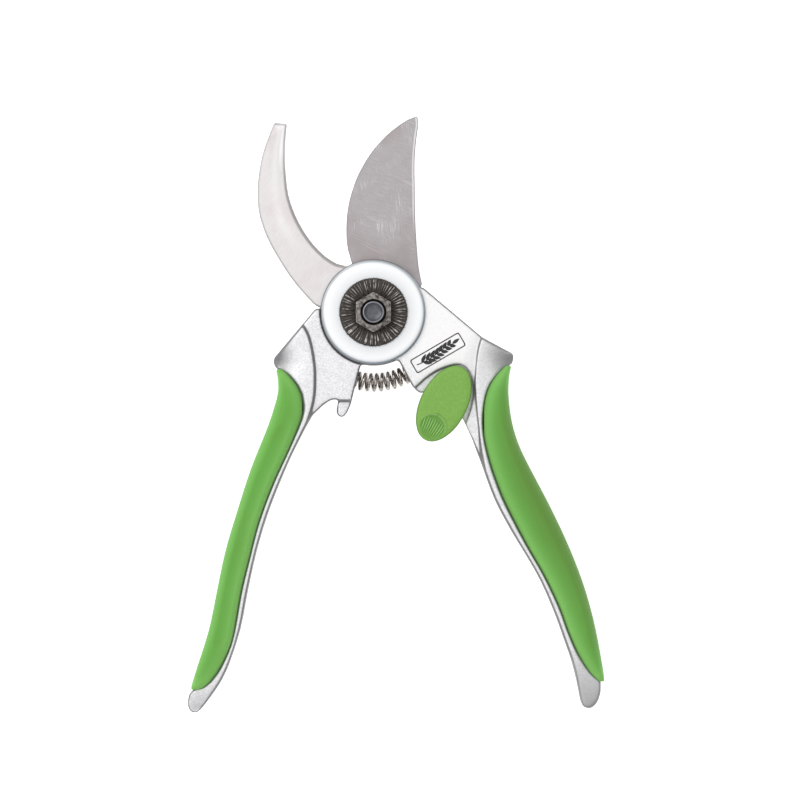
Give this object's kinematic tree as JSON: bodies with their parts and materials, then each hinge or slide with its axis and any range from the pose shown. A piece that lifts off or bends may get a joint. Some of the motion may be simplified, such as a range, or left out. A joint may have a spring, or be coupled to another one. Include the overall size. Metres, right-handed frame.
{
  "type": "pruning shears",
  "caption": "Bypass pruning shears lying open: curved cutting blade, hooked counter blade, sprung handles with soft grips and an oval thumb lock.",
  "frame": {"origin": "On the pivot axis, at the flat back of the pivot bolt's head, which is on the plane that the open shears lie on.", "axes": "+Z along the pivot axis, out of the front of the shears; +Y towards the jaws; +X to the right seen from the front."},
  "size_m": [0.1352, 0.1938, 0.0201],
  "materials": {
    "painted_aluminium": "fine silver metallic paint",
    "green_rubber": "smooth matte moulding",
    "green_plastic": "fine matte moulding",
    "blade_steel": "ground and lightly scratched",
    "counter_steel": "satin ground",
    "dark_steel": "blackened",
    "plated_steel": "grey plated",
    "spring_wire": "dark drawn wire",
    "satin_aluminium": "satin",
    "bronze": "plain sintered bronze"
  },
  "bodies": {
    "counter_side": {"right_handle": "painted_aluminium", "right_grip": "green_rubber", "counter_blade": "counter_steel", "tang_screw_1": "plated_steel", "tang_screw_2": "plated_steel", "pivot_bolt": "plated_steel", "pivot_bush": "plated_steel", "thrust_washer": "bronze", "cover_disc": "satin_aluminium", "toothed_washer": "dark_steel", "pivot_nut": "dark_steel", "lock_pin": "plated_steel", "lock_washer": "plated_steel", "return_spring": "spring_wire"},
    "cutting_side": {"left_handle": "painted_aluminium", "left_grip": "green_rubber", "cutting_blade": "blade_steel", "blade_rivet_1": "plated_steel", "blade_rivet_2": "plated_steel"},
    "lock": {"lock_button": "green_plastic", "lock_latch": "plated_steel"}
  },
  "joints": [
    {"name": "blade_pivot", "type": "hinge", "parent": "counter_side", "child": "cutting_side", "pos_m": [0, 0, 0], "axis": [0, 0, 1], "range_deg": [0, 38], "stiffness_Nm_per_rad": 0.3, "springref_deg": -22.92, "deforming": ["return_spring"]},
    {"name": "lock_turn", "type": "hinge", "parent": "counter_side", "child": "lock", "pos_m": [0.0278, -0.0217, 0.013], "axis": [0, 0, -1], "range_deg": [0, 28]}
  ]
}
